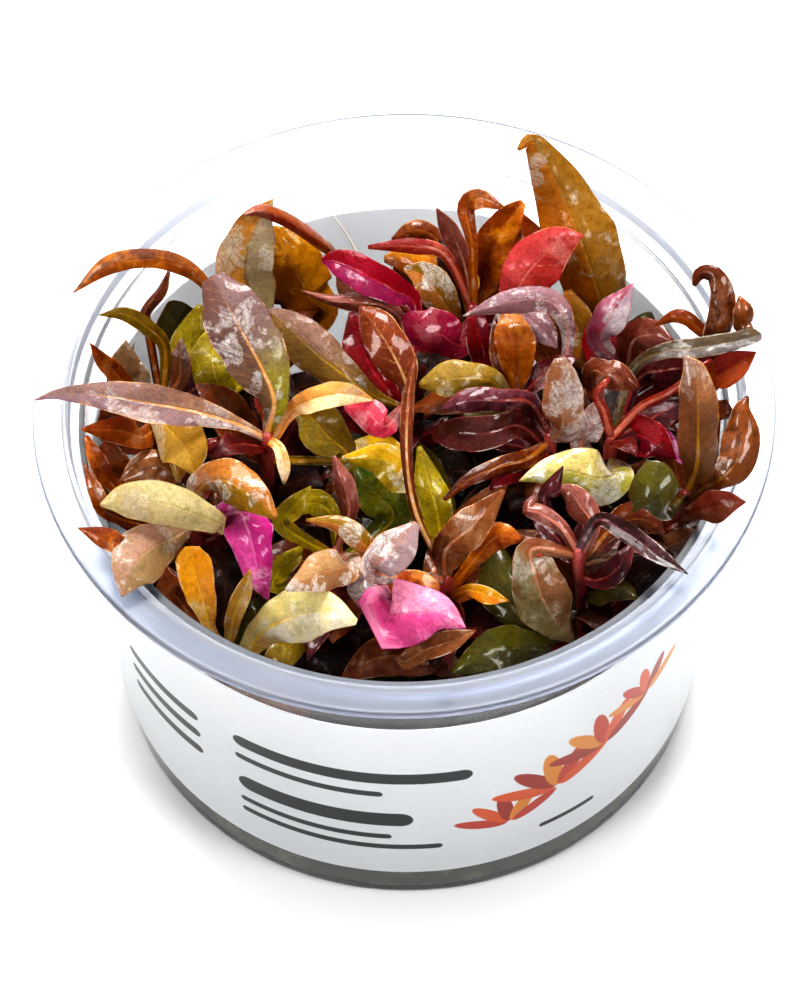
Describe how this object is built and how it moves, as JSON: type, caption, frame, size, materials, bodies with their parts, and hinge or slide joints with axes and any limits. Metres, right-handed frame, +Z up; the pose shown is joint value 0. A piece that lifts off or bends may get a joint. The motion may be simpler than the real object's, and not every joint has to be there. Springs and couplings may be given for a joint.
{
  "type": "potted aquarium plant",
  "caption": "Clear plastic growing cup with a flange and label band, holding gel and a dense tuft of red-brown leafy stems.",
  "frame": {"origin": "centre of the cup's flat bottom, on the surface it stands on", "axes": "+Z up along the cup's axis; -Y towards the front of the label"},
  "size_m": [0.1, 0.1, 0.0713],
  "materials": {
    "clear_plastic": "clear, polished",
    "growth_gel": "wet, cloudy gel",
    "label_film": "satin film",
    "leaf_amber": "wet, glossy leaf",
    "leaf_orange": "wet, glossy leaf",
    "leaf_olive": "wet, glossy leaf",
    "leaf_mauve": "wet, glossy leaf",
    "leaf_magenta": "wet, glossy leaf",
    "leaf_russet": "wet, glossy leaf",
    "leaf_cream": "wet, glossy leaf",
    "leaf_crimson": "wet, glossy leaf",
    "leaf_green": "wet, glossy leaf",
    "leaf_brown": "wet, glossy leaf",
    "leaf_lime": "wet, glossy leaf",
    "leaf_plum": "wet, glossy leaf",
    "leaf_gold": "wet, glossy leaf",
    "stem": "wet"
  },
  "bodies": {
    "root": {"cup": "clear_plastic", "gel": "growth_gel", "label": "label_film", "leaf_amber_centre": "leaf_amber", "leaf_amber_spoon": "leaf_amber", "leaf_amber_vertical": "leaf_amber", "leaf_arch_left": "leaf_orange", "leaf_back_olive": "leaf_olive", "leaf_big_purple": "leaf_mauve", "leaf_bright_pink": "leaf_magenta", "leaf_brown_shield": "leaf_russet", "leaf_cream_front": "leaf_cream", "leaf_crimson_back": "leaf_crimson", "leaf_crimson_centre": "leaf_crimson", "leaf_dark_blob": "leaf_green", "leaf_dark_gloss": "leaf_brown", "leaf_folded_top": "leaf_orange", "leaf_front_brown": "leaf_russet", "leaf_front_green": "leaf_green", "leaf_gold_back": "leaf_amber", "leaf_grey_olive_left": "leaf_mauve", "leaf_hook": "leaf_russet", "leaf_lavender": "leaf_mauve", "leaf_lime_back": "leaf_lime", "leaf_long_dark": "leaf_plum", "leaf_long_grey": "leaf_mauve", "leaf_magenta_hanging": "leaf_magenta", "leaf_olive_middle": "leaf_olive", "leaf_opposite_gold": "leaf_gold", "leaf_orange_upright": "leaf_orange", "leaf_outer_right": "leaf_russet", "leaf_pale_left": "leaf_cream", "leaf_pale_olive": "leaf_olive", "leaf_pale_right": "leaf_cream", "leaf_plum_lower": "leaf_plum", "leaf_plum_upper": "leaf_plum", "leaf_point_right": "leaf_russet", "leaf_red_oval": "leaf_crimson", "leaf_red_right": "leaf_orange", "leaf_rolled_red": "leaf_russet", "leaf_spear_left": "leaf_russet", "leaf_tall_back": "leaf_olive", "leaf_upright_grey": "leaf_mauve", "leaf_upright_ochre": "leaf_brown", "leaf_veined_brown": "leaf_brown", "stem_back": "stem", "stem_back_left": "stem", "stem_back_middle": "stem", "stem_back_right": "stem", "stem_centre": "stem", "stem_centre_right": "stem", "stem_far_left": "stem", "stem_far_right": "stem", "stem_front_left": "stem", "stem_front_middle": "stem", "stem_front_right": "stem", "stem_left": "stem", "stem_lower_left": "stem", "stem_middle_left": "stem", "stem_right": "stem"}
  },
  "joints": []
}
